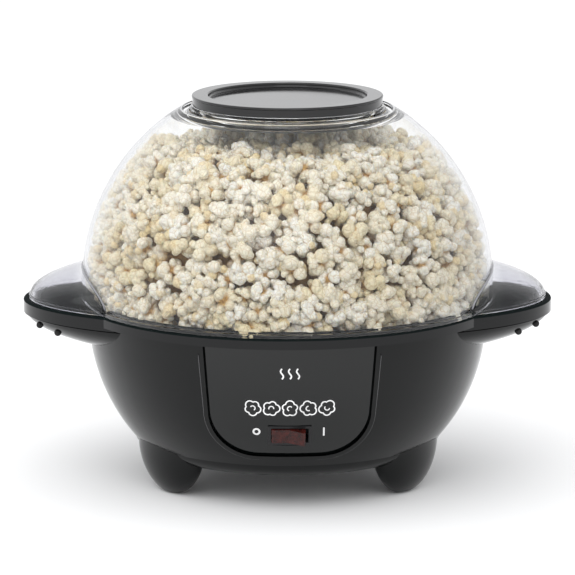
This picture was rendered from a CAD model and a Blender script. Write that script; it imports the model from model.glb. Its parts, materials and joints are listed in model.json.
import json
import math

import bpy
import numpy as np
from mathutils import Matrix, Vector


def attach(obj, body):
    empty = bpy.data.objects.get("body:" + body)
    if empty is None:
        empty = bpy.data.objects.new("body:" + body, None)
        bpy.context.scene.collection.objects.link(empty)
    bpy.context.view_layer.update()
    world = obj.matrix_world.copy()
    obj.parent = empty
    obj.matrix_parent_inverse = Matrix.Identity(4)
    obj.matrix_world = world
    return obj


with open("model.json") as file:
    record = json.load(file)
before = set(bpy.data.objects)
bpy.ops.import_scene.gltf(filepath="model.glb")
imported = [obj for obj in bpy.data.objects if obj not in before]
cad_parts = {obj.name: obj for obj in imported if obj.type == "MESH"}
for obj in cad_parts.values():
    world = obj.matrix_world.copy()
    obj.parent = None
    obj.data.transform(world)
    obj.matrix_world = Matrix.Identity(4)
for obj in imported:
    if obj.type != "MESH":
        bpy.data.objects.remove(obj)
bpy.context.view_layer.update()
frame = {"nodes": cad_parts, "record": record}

rng = np.random.default_rng(41)

# ------------------------------------------------------------------ places taken from the part, in metres

DOME_R = 0.1557
DOME_INNER_R = 0.1532
DOME_Z = 0.150
FLANGE_TOP = 0.1418
CANOPY = (0.195, 0.107, 0.036)
BOWL_ARC_R = 0.1406
BOWL_ARC_AT = (0.0103, 0.1267)
PANEL_RECESS = 0.0008


# ------------------------------------------------------------------ node helpers


class Look:
    """A procedural material: a Principled shader and short ways to drive its sockets."""

    def __init__(self, name, color, rough, metallic=0.0):
        self.mat = bpy.data.materials.new(name)
        self.mat.use_nodes = True
        self.tree = self.mat.node_tree
        self.shader = self.tree.nodes["Principled BSDF"]
        self.set("Base Color", (*color, 1.0))
        self.set("Roughness", rough)
        self.set("Metallic", metallic)

    def set(self, socket, value):
        self.shader.inputs[socket].default_value = value

    def add(self, kind, **inputs):
        node = self.tree.nodes.new(kind)
        for key, value in inputs.items():
            node.inputs[key.replace("_", " ")].default_value = value
        return node

    def link(self, out, socket):
        self.tree.links.new(out, self.shader.inputs[socket] if isinstance(socket, str) else socket)

    def coords(self, stretch=(1, 1, 1)):
        place = self.add("ShaderNodeTexCoord")
        mapping = self.add("ShaderNodeMapping")
        mapping.inputs["Scale"].default_value = stretch
        self.tree.links.new(place.outputs["Object"], mapping.inputs["Vector"])
        return mapping.outputs["Vector"]

    def noise(self, scale, detail=3.0, rough=0.5, stretch=(1, 1, 1)):
        node = self.add("ShaderNodeTexNoise", Scale=scale, Detail=detail, Roughness=rough)
        self.tree.links.new(self.coords(stretch), node.inputs["Vector"])
        return node.outputs["Fac"]

    def cells(self, scale, feature="F1"):
        node = self.add("ShaderNodeTexVoronoi", Scale=scale)
        node.feature = feature
        self.tree.links.new(self.coords(), node.inputs["Vector"])
        return node.outputs["Distance"]

    def ramp(self, fac, stops):
        node = self.add("ShaderNodeValToRGB")
        bar = node.color_ramp
        while len(bar.elements) < len(stops):
            bar.elements.new(0.5)
        for element, (at, color) in zip(bar.elements, stops):
            element.position = at
            element.color = (*color, 1.0) if isinstance(color, tuple) else (color, color, color, 1.0)
        self.tree.links.new(fac, node.inputs["Fac"])
        return node.outputs["Color"]

    def spread(self, fac, low, high, start=0.3, end=0.7):
        node = self.add("ShaderNodeMapRange")
        for key, value in (("From Min", start), ("From Max", end), ("To Min", low), ("To Max", high)):
            node.inputs[key].default_value = value
        self.tree.links.new(fac, node.inputs["Value"])
        return node.outputs["Result"]

    def bump(self, height, strength, distance, before=None):
        node = self.add("ShaderNodeBump", Strength=strength, Distance=distance)
        self.tree.links.new(height, node.inputs["Height"])
        if before:
            self.tree.links.new(before, node.inputs["Normal"])
        self.link(node.outputs["Normal"], "Normal")
        return node.outputs["Normal"]

    def axis(self, way, distance=False):
        """One coordinate of the surface, or its distance from the middle plane."""
        split = self.add("ShaderNodeSeparateXYZ")
        self.tree.links.new(self.coords(), split.inputs["Vector"])
        out = split.outputs[way]
        if distance:
            node = self.add("ShaderNodeMath")
            node.operation = "ABSOLUTE"
            self.tree.links.new(out, node.inputs[0])
            out = node.outputs[0]
        return out

    def facing_up(self):
        """How far the surface faces upward, from -1 to 1."""
        place = self.add("ShaderNodeNewGeometry")
        split = self.add("ShaderNodeSeparateXYZ")
        self.tree.links.new(place.outputs["Normal"], split.inputs["Vector"])
        return split.outputs["Z"]

    def attribute(self, name):
        node = self.add("ShaderNodeAttribute")
        node.attribute_name = name
        return node

    def mix(self, fac, a, b, blend="MIX"):
        node = self.add("ShaderNodeMix")
        node.data_type = "RGBA"
        node.blend_type = blend
        for socket, value in zip((node.inputs[0], node.inputs[6], node.inputs[7]), (fac, a, b)):
            if isinstance(value, bpy.types.NodeSocket):
                self.tree.links.new(value, socket)
            else:
                socket.default_value = (*value, 1.0) if isinstance(value, tuple) else value
        return node.outputs[2]


def moulded(name, color, low, high, peel=0.02, gloss=0.32):
    """Moulded plastic: faint flow marks in its gloss and a little orange peel."""
    look = Look(name, color, low)
    flow = look.noise(14, 2.0, stretch=(1, 1, 2.2))
    fine = look.noise(900, 2.0)
    tone = look.ramp(flow, [(0.25, tuple(c * 0.8 for c in color)), (0.8, tuple(c * 1.25 for c in color))])
    look.link(tone, "Base Color")
    look.link(look.spread(flow, low, high), "Roughness")
    soft = look.bump(look.noise(110, 1.0), peel, 0.0006)
    look.bump(fine, peel * 1.5, 0.00012, soft)
    look.set("Specular IOR Level", gloss)
    return look.mat


def metal(name, color, rough, stretch=(1, 1, 12), scale=260, strength=0.12):
    """Sheet or turned metal with its working marks drawn out along one way."""
    look = Look(name, color, rough, 1.0)
    grain = look.noise(scale, 4.0, 0.6, stretch)
    stain = look.noise(30, 3.0)
    look.link(look.spread(grain, rough * 0.75, rough * 1.35), "Roughness")
    look.link(look.ramp(stain, [(0.3, tuple(c * 0.82 for c in color)), (0.7, color)]), "Base Color")
    look.bump(grain, strength, 0.0002)
    return look.mat


def matt(name, color, rough, scale=500, strength=0.2, depth=0.0003):
    """Rubber, nylon or cable insulation: fine grain and a worn, uneven tone."""
    look = Look(name, color, rough)
    grain = look.noise(scale, 4.0, 0.6)
    tone = look.noise(45, 3.0)
    worn, fresh = tuple(c * 0.75 for c in color), tuple(min(1, c * 1.12) for c in color)
    look.link(look.ramp(tone, [(0.3, worn), (0.72, fresh)]), "Base Color")
    look.link(look.spread(grain, rough * 0.85, min(1.0, rough * 1.15)), "Roughness")
    look.bump(grain, strength, depth)
    return look.mat


def clear(name, tint=(0.985, 0.99, 0.992), rough=0.003):
    """Clear moulded plastic, a little grey past the dome's side in the canopies and where it is seen edge-on.

    Light that only casts a shadow passes straight through.
    """
    look = Look(name, tint, rough)
    look.set("Transmission Weight", 1.0)
    look.set("IOR", 1.49)
    side = look.spread(look.axis("X", True), 0.0, 1.0, 0.150, 0.162)
    body = look.mix(side, tint, (0.71, 0.71, 0.75))
    facing = look.add("ShaderNodeLayerWeight", Blend=0.5)
    edge = look.spread(facing.outputs["Facing"], 0.0, 1.0, 0.74, 0.97)
    look.link(look.mix(edge, body, (0.4, 0.4, 0.46)), "Base Color")
    look.set("Specular IOR Level", 0.2)
    look.link(look.mix(side, (0.45, 0.45, 0.45), (0.25, 0.25, 0.25)), "Specular Tint")
    haze = look.noise(9, 3.0)
    look.link(look.spread(haze, rough * 0.6, rough * 2.2), "Roughness")
    look.bump(look.noise(26, 2.0), 0.02, 0.0003)
    through = look.add("ShaderNodeBsdfTransparent", Color=(0.96, 0.965, 0.97, 1.0))
    ray = look.add("ShaderNodeLightPath")
    mixer = look.add("ShaderNodeMixShader")
    links = look.tree.links
    links.new(ray.outputs["Is Shadow Ray"], mixer.inputs[0])
    links.new(look.shader.outputs[0], mixer.inputs[1])
    links.new(through.outputs[0], mixer.inputs[2])
    links.new(mixer.outputs[0], look.tree.nodes["Material Output"].inputs["Surface"])
    return look.mat


# ------------------------------------------------------------------ the materials of the CAD nodes


def deck_black():
    """The deck's plastic: glossy on its sides, duller where it faces up, as in the hollows of the handles."""
    look = Look("deck_black", (0.0026, 0.0028, 0.0032), 0.12)
    flow = look.noise(14, 2.0, stretch=(1, 1, 2.2))
    up = look.spread(look.facing_up(), 0.0, 1.0, 0.05, 0.3)
    gloss = look.mix(look.spread(flow, 0.0, 1.0), (0.09, 0.09, 0.09), (0.16, 0.16, 0.16))
    look.link(look.mix(up, gloss, (0.55, 0.55, 0.55)), "Roughness")
    look.link(look.mix(up, (0.0026, 0.0028, 0.0032), (0.006, 0.009, 0.009)), "Base Color")
    look.link(look.spread(look.facing_up(), 0.3, 0.01, 0.05, 0.3), "Specular IOR Level")
    soft = look.bump(look.noise(110, 1.0), 0.02, 0.0006)
    look.bump(look.noise(900, 2.0), 0.05, 0.00012, soft)
    return look.mat


def nonstick():
    look = Look("nonstick_coat", (0.035, 0.035, 0.038), 0.42)
    specks = look.spread(look.noise(1400, 2.0), 0.0, 1.0, 0.64, 0.7)
    scuffs = look.noise(60, 5.0, 0.7)
    look.link(look.mix(specks, (0.03, 0.03, 0.033), (0.16, 0.16, 0.17)), "Base Color")
    look.link(look.spread(scuffs, 0.34, 0.6), "Roughness")
    look.bump(look.noise(900, 3.0), 0.25, 0.0002)
    return look.mat


def winding():
    look = Look("copper_winding", (0.6, 0.22, 0.08), 0.3, 1.0)
    wave = look.add("ShaderNodeTexWave", Scale=420, Distortion=1.2, Detail=2.0)
    wave.bands_direction = "Z"
    look.tree.links.new(look.coords(), wave.inputs["Vector"])
    turns = look.ramp(wave.outputs["Fac"], [(0.1, (0.2, 0.06, 0.02)), (0.7, (0.75, 0.3, 0.12))])
    look.link(turns, "Base Color")
    look.bump(wave.outputs["Fac"], 0.6, 0.0004)
    return look.mat


def woven():
    look = Look("glass_fibre_sleeve", (0.8, 0.78, 0.7), 0.75)
    checks = look.add("ShaderNodeTexChecker", Scale=1400)
    look.tree.links.new(look.coords(), checks.inputs["Vector"])
    look.link(look.mix(checks.outputs["Fac"], (0.85, 0.83, 0.75), (0.6, 0.56, 0.45)), "Base Color")
    look.bump(checks.outputs["Fac"], 0.5, 0.0003)
    return look.mat


def rocker_red():
    look = Look("rocker_red", (0.05, 0.006, 0.005), 0.12)
    look.set("Specular IOR Level", 0.35)
    cloud = look.noise(230, 3.0, 0.6)
    look.link(look.ramp(cloud, [(0.35, (0.014, 0.003, 0.0025)), (0.75, (0.075, 0.011, 0.008))]), "Base Color")
    look.link(look.spread(cloud, 0.08, 0.2), "Roughness")
    look.bump(look.noise(300, 2.0), 0.08, 0.0003)
    return look.mat


LOOKS = {
    "clear_dome": clear("clear_dome"),
    "black_gloss": moulded("black_gloss", (0.0022, 0.0026, 0.0027), 0.09, 0.16, gloss=0.26),
    "black_panel": moulded("black_panel", (0.0012, 0.0018, 0.0018), 0.1, 0.15, peel=0.01, gloss=0.46),
    "black_lid": moulded("black_lid", (0.004, 0.0038, 0.0045), 0.08, 0.14, gloss=0.5),
    "black_plastic": moulded("black_plastic", (0.012, 0.012, 0.013), 0.38, 0.5, peel=0.15),
    "black_rubber": matt("black_rubber", (0.014, 0.014, 0.014), 0.8),
    "silicone": matt("silicone", (0.32, 0.05, 0.03), 0.6, 300, 0.1),
    "screw_steel": metal("screw_steel", (0.52, 0.52, 0.53), 0.34),
    "nonstick": nonstick(),
    "element_sheath": metal("element_sheath", (0.5, 0.49, 0.48), 0.5, scale=400, strength=0.2),
    "sheet_metal": metal("sheet_metal", (0.78, 0.78, 0.79), 0.26, (1, 10, 1), 200, 0.08),
    "plated_steel": metal("plated_steel", (0.6, 0.6, 0.61), 0.32, (10, 1, 1), 220, 0.1),
    "shaft_steel": metal("shaft_steel", (0.72, 0.72, 0.73), 0.14, (1, 1, 20), 300, 0.05),
    "copper": winding(),
    "bronze": metal("bronze", (0.5, 0.32, 0.14), 0.45, (1, 1, 1), 900, 0.3),
    "ferrite": matt("ferrite", (0.04, 0.04, 0.042), 0.7, 900, 0.3),
    "nylon": matt("nylon", (0.78, 0.76, 0.68), 0.42, 700, 0.08),
    "red_rocker": rocker_red(),
    "brass_blade": metal("brass_blade", (0.78, 0.58, 0.26), 0.24, (1, 12, 1), 300, 0.08),
    "ceramic_body": matt("ceramic_body", (0.74, 0.7, 0.6), 0.55, 900, 0.2),
    "glass_sleeve": woven(),
    "wire_brown": matt("wire_brown", (0.13, 0.045, 0.02), 0.4, 800, 0.06),
    "wire_blue": matt("wire_blue", (0.02, 0.08, 0.32), 0.4, 800, 0.06),
}

OWN_LOOKS = {"top_deck": deck_black()}

for part in frame["record"]["subparts"]:
    node = frame["nodes"][part["node"]]
    for material_slot in node.material_slots:
        material_slot.material = OWN_LOOKS.get(part["node"], LOOKS[part["material_slot"]])


# ------------------------------------------------------------------ mesh helpers


def mesh_object(name, verts, faces, material, body, smooth=True):
    mesh = bpy.data.meshes.new(name)
    mesh.from_pydata([tuple(map(float, v)) for v in verts], [], [tuple(map(int, f)) for f in faces])
    mesh.update()
    if smooth:
        mesh.shade_smooth()
    obj = bpy.data.objects.new(name, mesh)
    bpy.context.scene.collection.objects.link(obj)
    obj.data.materials.append(material)
    if body:
        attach(obj, body)
    return obj


def tris_object(name, verts, tris, material, body, colors=None):
    """A large triangle mesh from arrays, with an optional colour on each vertex."""
    mesh = bpy.data.meshes.new(name)
    mesh.vertices.add(len(verts))
    mesh.vertices.foreach_set("co", verts.astype(np.float32).ravel())
    mesh.loops.add(len(tris) * 3)
    mesh.loops.foreach_set("vertex_index", tris.astype(np.int32).ravel())
    mesh.polygons.add(len(tris))
    mesh.polygons.foreach_set("loop_start", np.arange(0, len(tris) * 3, 3, dtype=np.int32))
    mesh.polygons.foreach_set("loop_total", np.full(len(tris), 3, dtype=np.int32))
    mesh.update(calc_edges=True)
    mesh.validate()
    mesh.shade_smooth()
    if colors is not None:
        layer = mesh.color_attributes.new("corn", "FLOAT_COLOR", "POINT")
        layer.data.foreach_set("color", colors.astype(np.float32).ravel())
    obj = bpy.data.objects.new(name, mesh)
    bpy.context.scene.collection.objects.link(obj)
    obj.data.materials.append(material)
    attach(obj, body)
    return obj


def icosphere(levels):
    """Directions and triangles of an icosphere."""
    import bmesh

    bm = bmesh.new()
    bmesh.ops.create_icosphere(bm, subdivisions=levels, radius=1.0)
    verts = np.array([v.co[:] for v in bm.verts])
    tris = np.array([[v.index for v in f.verts] for f in bm.faces])
    bm.free()
    return verts / np.linalg.norm(verts, axis=1)[:, None], tris


# ------------------------------------------------------------------ popped corn

HEAP_TOP = 0.262
HEAP_LOW = 0.134
DOME_GAP = 0.0008
SHADE_FROM = 0.0115
SHADE_OVER = 0.0085
CORE_DEPTH = 0.0215


def waves(points, freq, seed):
    """A cheap smooth noise: a few sine waves in random directions."""
    local = np.random.default_rng(seed)
    total = np.zeros(len(points))
    for _ in range(7):
        way = local.normal(size=3)
        way *= freq / np.linalg.norm(way)
        total += np.sin(points @ way + local.uniform(0, 6.28))
    return total / 7


def flake(directions, seed):
    """One popped flake: a few large round lobes with smaller ones bursting out between them.

    Returns its points, how deep each lies in a fold, and a tone for each lobe.
    """
    local = np.random.default_rng(seed)
    best = np.full(len(directions), 0.0030)
    second = np.full(len(directions), 0.0030)
    owner = np.zeros(len(directions), dtype=int)
    ways = []

    def burst(count, size_low, size_high, reach_low, reach_high, apart):
        nonlocal best, second, owner
        placed = 0
        for _ in range(400):
            if placed == count:
                break
            way = local.normal(size=3)
            way /= np.linalg.norm(way)
            if any(way @ other > apart for other in ways[-placed:] if placed):
                continue
            placed += 1
            ways.append(way)
            size = local.uniform(size_low, size_high)
            reach = local.uniform(reach_low, reach_high)
            along = directions @ way
            inside = (along * reach) ** 2 - reach**2 + size**2
            hit = (inside > 0) & (along > 0)
            far = np.where(hit, along * reach + np.sqrt(np.maximum(inside, 0)), 0)
            far += np.where(hit, size * 0.10 * waves(directions, 11.0, seed * 31 + len(ways)), 0)
            wins = far > best
            second = np.where(wins, best, np.maximum(second, far))
            owner = np.where(wins, len(ways), owner)
            best = np.maximum(best, far)

    burst(local.integers(4, 7), 0.0038, 0.0054, 0.0040, 0.0062, 0.45)
    burst(local.integers(6, 10), 0.0022, 0.0034, 0.0062, 0.0086, 0.72)
    crinkle = 0.00030 * waves(directions, 34.0, seed * 17) + 0.00016 * waves(directions, 70.0, seed * 19)
    points = directions * (best + crinkle)[:, None]
    crease = np.exp(-(best - second) / 0.00050)
    deep = np.clip((0.0070 - best) / 0.0034, 0, 1)
    tone = local.uniform(0, 1, len(ways) + 1)[owner]
    return points, np.clip(0.45 * crease + 0.75 * deep, 0, 1), tone


def light_flake(seed, budget):
    """A flake thinned to this many triangles, which leaves its folds sharp."""
    directions, tris = icosphere(6)
    points, fold, tone = flake(directions, seed)
    mesh = bpy.data.meshes.new("flake")
    mesh.from_pydata(points.tolist(), [], tris.tolist())
    colors = np.stack([fold, tone, tone, tone], axis=1)
    layer = mesh.color_attributes.new("corn", "FLOAT_COLOR", "POINT")
    layer.data.foreach_set("color", colors.astype(np.float32).ravel())
    obj = bpy.data.objects.new("flake", mesh)
    bpy.context.scene.collection.objects.link(obj)
    thin = obj.modifiers.new("thin", "DECIMATE")
    thin.ratio = budget / len(tris)
    thin.use_collapse_triangulate = True
    made = obj.evaluated_get(bpy.context.evaluated_depsgraph_get()).to_mesh()
    count = len(made.vertices)
    out_points = np.empty(count * 3, dtype=np.float32)
    made.vertices.foreach_get("co", out_points)
    out_tris = np.empty(len(made.polygons) * 3, dtype=np.int32)
    made.polygons.foreach_get("vertices", out_tris)
    out_colors = np.empty(count * 4, dtype=np.float32)
    made.color_attributes["corn"].data.foreach_get("color", out_colors)
    bpy.data.objects.remove(obj)
    bpy.data.meshes.remove(mesh)
    out_points = out_points.reshape(-1, 3).astype(float)
    out_colors = out_colors.reshape(-1, 4)
    return out_points, out_tris.reshape(-1, 3), out_colors[:, 0], out_colors[:, 1]


def turn_matrix(local):
    """A random turn, evenly spread over all ways round."""
    quat = local.normal(size=4)
    quat /= np.linalg.norm(quat)
    w, x, y, z = quat
    return np.array([
        [1 - 2 * (y * y + z * z), 2 * (x * y - z * w), 2 * (x * z + y * w)],
        [2 * (x * y + z * w), 1 - 2 * (x * x + z * z), 2 * (y * z - x * w)],
        [2 * (x * z - y * w), 2 * (y * z + x * w), 1 - 2 * (x * x + y * y)],
    ])


def wall_radius(z, gap):
    """How far from the axis a flake's middle may lie at this height."""
    if z > 0.1424:
        return math.sqrt(max((DOME_INNER_R - gap) ** 2 - (z - DOME_Z) ** 2, 0))
    return min(0.1480 - gap, 0.127 + (z - 0.1235) * 1.2 - gap)


def heap_height(x, y):
    """The heap's uneven top."""
    away = math.hypot(x, y)
    return HEAP_TOP - 0.006 * (away / 0.11) ** 2 + 0.004 * math.sin(x * 60 + 1) * math.cos(y * 55)


def spots(gap, spacing, tries, keep_top):
    """Places for flakes in one layer, at least spacing apart."""
    places = []
    grid = {}
    for _ in range(tries):
        if keep_top and rng.uniform() < 0.35:
            away = 0.118 * math.sqrt(rng.uniform())
            angle = rng.uniform(0, 2 * math.pi)
            x, y = away * math.cos(angle), away * math.sin(angle)
            z = heap_height(x, y) - gap + rng.normal() * 0.0015
            if math.hypot(x, y) > wall_radius(z, gap):
                continue
        else:
            z = rng.uniform(HEAP_LOW + gap * 0.5, HEAP_TOP - 0.004)
            angle = rng.uniform(0, 2 * math.pi)
            away = wall_radius(z, gap) + rng.normal() * 0.0012
            x, y = away * math.cos(angle), away * math.sin(angle)
            if z > heap_height(x, y) - gap * 0.6:
                continue
        cell = tuple(int(math.floor(c / spacing)) for c in (x, y, z))
        near = [
            p
            for dx in (-1, 0, 1)
            for dy in (-1, 0, 1)
            for dz in (-1, 0, 1)
            for p in grid.get((cell[0] + dx, cell[1] + dy, cell[2] + dz), ())
        ]
        if all((p[0] - x) ** 2 + (p[1] - y) ** 2 + (p[2] - z) ** 2 > spacing**2 for p in near):
            grid.setdefault(cell, []).append((x, y, z))
            places.append((x, y, z))
    return places


def corn_look():
    """Cream corn with warmer patches, crinkle lines, and brown hull where a fold lies deep."""
    look = Look("popped_corn", (0.86, 0.8, 0.66), 0.72)
    corn = look.attribute("corn")
    split = look.add("ShaderNodeSeparateColor")
    look.tree.links.new(corn.outputs["Color"], split.inputs["Color"])
    fold, tone, flake_tone = split.outputs[0], split.outputs[1], split.outputs[2]
    mottle = look.noise(420, 4.0, 0.6)
    crinkle = look.cells(230, "DISTANCE_TO_EDGE")
    line = look.spread(crinkle, 0.5, 0.0, 0.0, 0.065)
    creams = [(0.0, (0.95, 0.93, 0.86)), (0.55, (0.92, 0.87, 0.74)), (1.0, (0.86, 0.76, 0.52))]
    white = look.ramp(flake_tone, creams)
    patch = look.mix(look.spread(mottle, 0.0, 0.45, 0.45, 0.7), white, (0.86, 0.74, 0.46))
    warm = look.mix(look.spread(tone, 0.0, 0.6, 0.76, 0.95), patch, (0.8, 0.6, 0.26))
    lined = look.mix(line, warm, (0.5, 0.31, 0.09))
    hull = look.ramp(mottle, [(0.35, (0.34, 0.16, 0.035)), (0.65, (0.66, 0.4, 0.12))])
    color = look.mix(look.spread(fold, 0.0, 0.95, 0.25, 0.9), lined, hull)
    look.link(color, "Base Color")
    look.link(look.spread(mottle, 0.6, 0.85), "Roughness")
    look.set("Subsurface Weight", 0.12)
    look.set("Subsurface Radius", (0.004, 0.003, 0.002))
    look.set("Specular IOR Level", 0.3)
    low = look.bump(look.noise(420, 4.0, 0.65), 1.0, 0.0016)
    look.bump(crinkle, 0.8, 0.002, low)
    return look.mat


def popcorn():
    """The heap: an outer layer of full flakes and an inner one of lighter flakes, round a core."""
    material = corn_look()
    outer = [light_flake(100 + k, 1000) for k in range(18)]
    inner = [light_flake(300 + k, 360) for k in range(6)]
    layers = [(spots(0.0102, 0.0122, 60000, True), outer), (spots(0.0200, 0.0155, 14000, True), inner)]
    names = [(depth, side) for depth in ("front", "back") for side in ("left", "middle", "right")]
    sides = {f"popcorn_{depth}_{side}": [] for depth, side in names}
    for places, kinds in layers:
        for place in places:
            depth = "front" if place[1] < 0 else "back"
            side = "left" if place[0] < -0.045 else "right" if place[0] > 0.045 else "middle"
            sides[f"popcorn_{depth}_{side}"].append((place, kinds))
    for name, group in sides.items():
        verts, faces, colors = [], [], []
        start = 0
        for place, kinds in group:
            points, tris, fold, tone = kinds[rng.integers(len(kinds))]
            moved = (points * rng.uniform(0.86, 1.12)) @ turn_matrix(rng).T + np.array(place)
            # no flake reaches the dome above it or the stirring rod below it
            out = moved - np.array([0, 0, DOME_Z])
            far = np.maximum(np.linalg.norm(out, axis=1), 1e-6)
            held = np.minimum(far, DOME_INNER_R - DOME_GAP)
            moved = np.array([0, 0, DOME_Z]) + out * (held / far)[:, None]
            moved[:, 2] = np.maximum(moved[:, 2], HEAP_LOW - 0.002)
            color = np.ones((len(points), 4))
            above = heap_height(place[0], place[1]) + 0.004 - moved[:, 2]
            under = np.minimum(DOME_INNER_R - np.linalg.norm(out, axis=1), above)
            color[:, 0] = np.maximum(fold, np.clip((under - SHADE_FROM) / SHADE_OVER, 0, 1))
            color[:, 1] = tone
            color[:, 2] = rng.uniform()
            verts.append(moved)
            faces.append(tris + start)
            colors.append(color)
            start += len(points)
        verts, tris, colors = np.concatenate(verts), np.concatenate(faces), np.concatenate(colors)
        tris_object(name, verts, tris, material, "base", colors)
        print(name, len(group), "flakes", sum(len(f) for f in faces), "triangles")
    heap_core()


def heap_core():
    """The corn behind the outer flakes: one lumpy body that closes the gaps."""

    def within(x, y, z):
        below_top = HEAP_LOW + 0.001 < z < heap_height(x, y) - CORE_DEPTH
        return below_top and math.hypot(x, y) < wall_radius(z, CORE_DEPTH)

    directions, tris = icosphere(5)
    centre = np.array([0, 0, 0.19])
    verts = []
    for way in directions:
        low, high = 0.0, 0.2
        for _ in range(24):
            middle = (low + high) / 2
            low, high = (middle, high) if within(*(centre + way * middle)) else (low, middle)
        verts.append(centre + way * low)
    verts = np.array(verts)
    lumps = waves(verts, 420.0, 5) + 0.6 * waves(verts, 900.0, 6)
    verts = verts + directions * (0.0028 * (lumps - 1.0))[:, None]
    verts[:, 2] = np.maximum(verts[:, 2], HEAP_LOW)
    look = Look("heap_core", (0.3, 0.16, 0.05), 0.85)
    mottle = look.noise(160, 4.0, 0.6)
    look.link(look.ramp(mottle, [(0.3, (0.2, 0.09, 0.02)), (0.7, (0.5, 0.3, 0.09))]), "Base Color")
    look.bump(look.noise(260, 4.0), 0.8, 0.003)
    tris_object("popcorn_core", verts, tris, look.mat, "base")


popcorn()


# ------------------------------------------------------------------ printed marks on the panel


def panel_y(x, z, lift=0.00012):
    """The front panel's surface, which is part of a turned form."""
    radius = BOWL_ARC_AT[0] + math.sqrt((BOWL_ARC_R - PANEL_RECESS + lift) ** 2 - (z - BOWL_ARC_AT[1]) ** 2)
    return -math.sqrt(radius**2 - x**2)


def band_mark(name, paths, width, material, closed=False):
    """Thin ink lines of one width along (x, z) paths."""
    verts, faces = [], []
    for path in paths:
        points = np.array(path, dtype=float)
        n = len(points)
        base = len(verts)
        for i, (x, z) in enumerate(points):
            before = points[(i - 1) % n] if closed or i else points[i]
            after = points[(i + 1) % n] if closed or i < n - 1 else points[i]
            way = after - before
            way /= np.linalg.norm(way)
            side = np.array([-way[1], way[0]]) * width / 2
            for end in (-1, 1):
                px, pz = points[i] + side * end
                verts.append((px, panel_y(px, pz), pz))
        for i in range(n if closed else n - 1):
            a, b = base + 2 * i, base + 2 * ((i + 1) % n)
            faces.append((a, a + 1, b + 1, b))
    obj = mesh_object(name, verts, faces, material, "base")
    return obj


def arc_points(cx, cz, r, start, end, n):
    """Points on an arc from start to end, in degrees."""
    angles = [math.radians(start + (end - start) * i / n) for i in range(n + 1)]
    return [(cx + r * math.cos(angle), cz + r * math.sin(angle)) for angle in angles]


INK = matt("white_ink", (0.86, 0.86, 0.86), 0.5, 900, 0.05, 0.0001)
KERNEL_STEP = 0.0135
KERNEL_Z = 0.0845


def kernel_outline(cx, cz, size, turn):
    """A popped kernel's outline: five round lobes round a middle, as (x, z) points."""
    lobes = [(math.radians(turn + 72 * k), 0.50 + 0.07 * math.sin(2.4 * k + turn)) for k in range(5)]
    points = []
    for i in range(90):
        angle = 2 * math.pi * i / 90
        best = 0.0
        for way, lobe in lobes:
            off = math.cos(angle - way) * 0.56
            inside = off**2 - 0.56**2 + lobe**2
            if inside > 0:
                best = max(best, off + math.sqrt(inside))
        points.append((cx + size * best * math.cos(angle), cz + size * best * math.sin(angle)))
    return points


def heat_wave(cx, cz, height, swing):
    """A rising S-shaped line, the usual sign for warmth."""
    steps = 28
    return [
        (cx + swing * math.sin(2 * math.pi * i / steps), cz + height * (i / steps - 0.5))
        for i in range(steps + 1)
    ]


band_mark("mark_off_ring", [arc_points(-0.0242, 0.0652, 0.0022, 0, 360, 40)[:-1]], 0.0014, INK, True)
band_mark("mark_on_bar", [[(0.0248, 0.0615), (0.0248, 0.0685)]], 0.0012, INK)
kernels = [kernel_outline(KERNEL_STEP * k, KERNEL_Z, 0.0056, 17 * k + 90) for k in range(-2, 3)]
curls = [arc_points(KERNEL_STEP * k, KERNEL_Z, 0.0018, 40 + 50 * k, 250 + 50 * k, 16) for k in range(-2, 3)]
band_mark("mark_kernels", kernels, 0.00095, INK, True)
band_mark("mark_kernel_curls", curls, 0.0008, INK)
band_mark("mark_heat", [heat_wave(0.0058 * k, 0.1115, 0.0078, 0.0010) for k in (-1, 0, 1)], 0.0011, INK)


# ------------------------------------------------------------------ the fine raised line round the panel


def panel_outline(out):
    """The panel's U-shaped outline, this far outside its edge, as (x, z) points from left to right."""
    (x0, z0), (x1, z1) = (0.0632 + out, 0.1235), (0.0595 + out, 0.080)
    side = [(x0 + (x1 - x0) * k / 8, z0 + (z1 - z0) * k / 8) for k in range(9)]
    half = side + arc_points(0.0235, z1, 0.036 + out, -5, -90, 17)
    return [(-x, z) for x, z in half] + [(x, z) for x, z in reversed(half)]


def tube(name, path, radius, outward, material, body, sides=12):
    """A round bead along a path. outward gives the way out of the surface at a point."""
    verts, faces = [], []
    for i, at in enumerate(path):
        way = (path[min(i + 1, len(path) - 1)] - path[max(i - 1, 0)]).normalized()
        out = outward(at)
        across = way.cross(out).normalized()
        for k in range(sides):
            turn = 2 * math.pi * k / sides
            verts.append(at + (out * math.cos(turn) + across * math.sin(turn)) * radius)
    for i in range(len(path) - 1):
        for k in range(sides):
            a, b = i * sides + k, i * sides + (k + 1) % sides
            faces.append((a, b, b + sides, a + sides))
    faces.append(tuple(range(sides))[::-1])
    faces.append(tuple(len(verts) - sides + k for k in range(sides)))
    return mesh_object(name, verts, faces, material, body)


def bowl_out(at):
    """The way out of the bowl's turned surface."""
    radius = math.hypot(at.x, at.y)
    flat = radius - BOWL_ARC_AT[0]
    return Vector((at.x / radius * flat, at.y / radius * flat, at.z - BOWL_ARC_AT[1])).normalized()


LIP = moulded("lip_gloss", (0.03, 0.03, 0.033), 0.2, 0.3, gloss=0.9)
lip_path = [Vector((x, panel_y(x, z, PANEL_RECESS + 0.0001), z)) for x, z in panel_outline(0.0030)]
tube("panel_lip", lip_path, 0.00045, bowl_out, LIP, "base")


# ------------------------------------------------------------------ the bead where each canopy meets the dome


def bead_reach():
    """How far from the middle plane the canopy meets the dome at the flange."""
    a, b, _ = CANOPY
    across = DOME_R**2 - (FLANGE_TOP - DOME_Z) ** 2
    return math.sqrt((1 - across / a**2) / (1 / b**2 - 1 / a**2))


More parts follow.
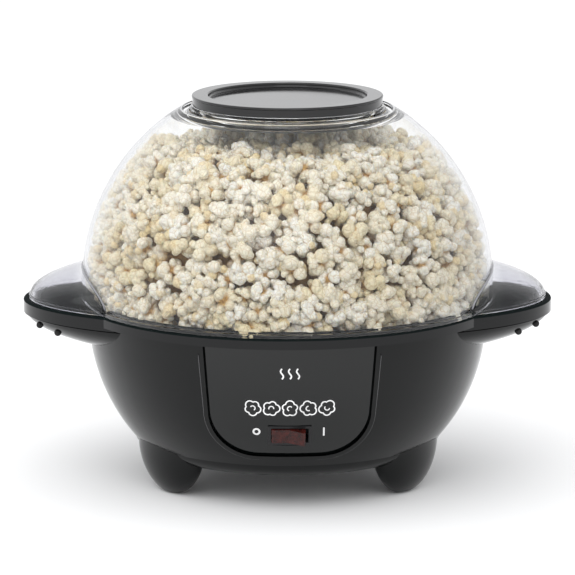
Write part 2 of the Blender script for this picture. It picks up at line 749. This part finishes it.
BEAD_REACH = bead_reach() - 0.0004


def bead_path(side):
    """Where the dome's sphere and a handle's canopy cross, from the front flange over to the back."""
    a, b, c = CANOPY
    points = []
    for i in range(61):
        y_share = -1 + 2 * i / 60
        low, high = FLANGE_TOP, FLANGE_TOP + c
        # halving finds the height at which the sphere and the canopy cross this far to the side
        for _ in range(40):
            z = (low + high) / 2
            across = DOME_R**2 - (z - DOME_Z) ** 2
            rest = 1 - ((z - FLANGE_TOP) / c) ** 2
            y_sq = (rest - across / a**2) / (1 / b**2 - 1 / a**2)
            low, high = (z, high) if y_sq > (BEAD_REACH * y_share) ** 2 else (low, z)
        y = BEAD_REACH * y_share
        x = math.sqrt(max(DOME_R**2 - (z - DOME_Z) ** 2 - y**2, 0))
        points.append(Vector((side * x, y, z)))
    return points


def dome_out(at):
    """The way out of the dome's sphere."""
    return (at - Vector((0, 0, DOME_Z))).normalized()


BEAD = moulded("bead_grey", (0.22, 0.22, 0.235), 0.12, 0.25, peel=0.05, gloss=0.6)
for bead_name, bead_side in (("canopy_bead_left", -1), ("canopy_bead_right", 1)):
    tube(bead_name, bead_path(bead_side), 0.0010, dome_out, BEAD, "dome")


# ------------------------------------------------------------------ floor, light and camera


def studio():
    """A plain matt floor, an even pale world and two soft area lights."""
    bpy.ops.mesh.primitive_plane_add(size=60, location=(0, 0, 0))
    floor = bpy.context.object
    floor.name = "studio_floor"
    look = Look("studio_floor", (0.97, 0.97, 0.97), 0.9)
    look.set("Specular IOR Level", 0.0)
    floor.data.materials.append(look.mat)

    world = bpy.data.worlds.new("studio")
    world.use_nodes = True
    world.node_tree.nodes["Background"].inputs["Color"].default_value = (0.985, 0.99, 1.0, 1.0)
    world.node_tree.nodes["Background"].inputs["Strength"].default_value = 1.12
    bpy.context.scene.world = world

    def softbox(name, place, aim, width, height, power):
        light = bpy.data.lights.new(name, "AREA")
        light.shape = "RECTANGLE"
        light.size, light.size_y = width, height
        light.energy = power
        obj = bpy.data.objects.new(name, light)
        obj.location = place
        obj.rotation_euler = (Vector(aim) - Vector(place)).to_track_quat("-Z", "Y").to_euler()
        bpy.context.scene.collection.objects.link(obj)

    softbox("softbox_top", (-0.25, -1.7, 2.0), (0, 0, 0.15), 1.8, 1.8, 15)
    softbox("softbox_left", (-1.0, -0.35, 0.9), (-0.75, -0.25, 0.0), 0.9, 1.2, 2.0)

    scene = bpy.context.scene
    scene.view_settings.view_transform = "Standard"
    scene.view_settings.look = "None"
    scene.view_settings.exposure = 0.0


def camera():
    """The camera, in front, a little above and a touch to the left, aimed at the middle of the object."""
    data = bpy.data.cameras.new("camera")
    data.sensor_width = 36.0
    data.lens = 230.6
    data.shift_y = 0.0113
    data.clip_end = 100.0
    obj = bpy.data.objects.new("camera", data)
    bpy.context.scene.collection.objects.link(obj)
    rise, turn = math.radians(11.51), math.radians(-0.7)
    back = Vector((math.sin(turn) * math.cos(rise), -math.cos(turn) * math.cos(rise), math.sin(rise)))
    target = Vector((0, 0, 0.140))
    obj.location = target + back * 2.795
    obj.rotation_euler = (-back).to_track_quat("-Z", "Y").to_euler()
    bpy.context.scene.camera = obj


studio()
camera()
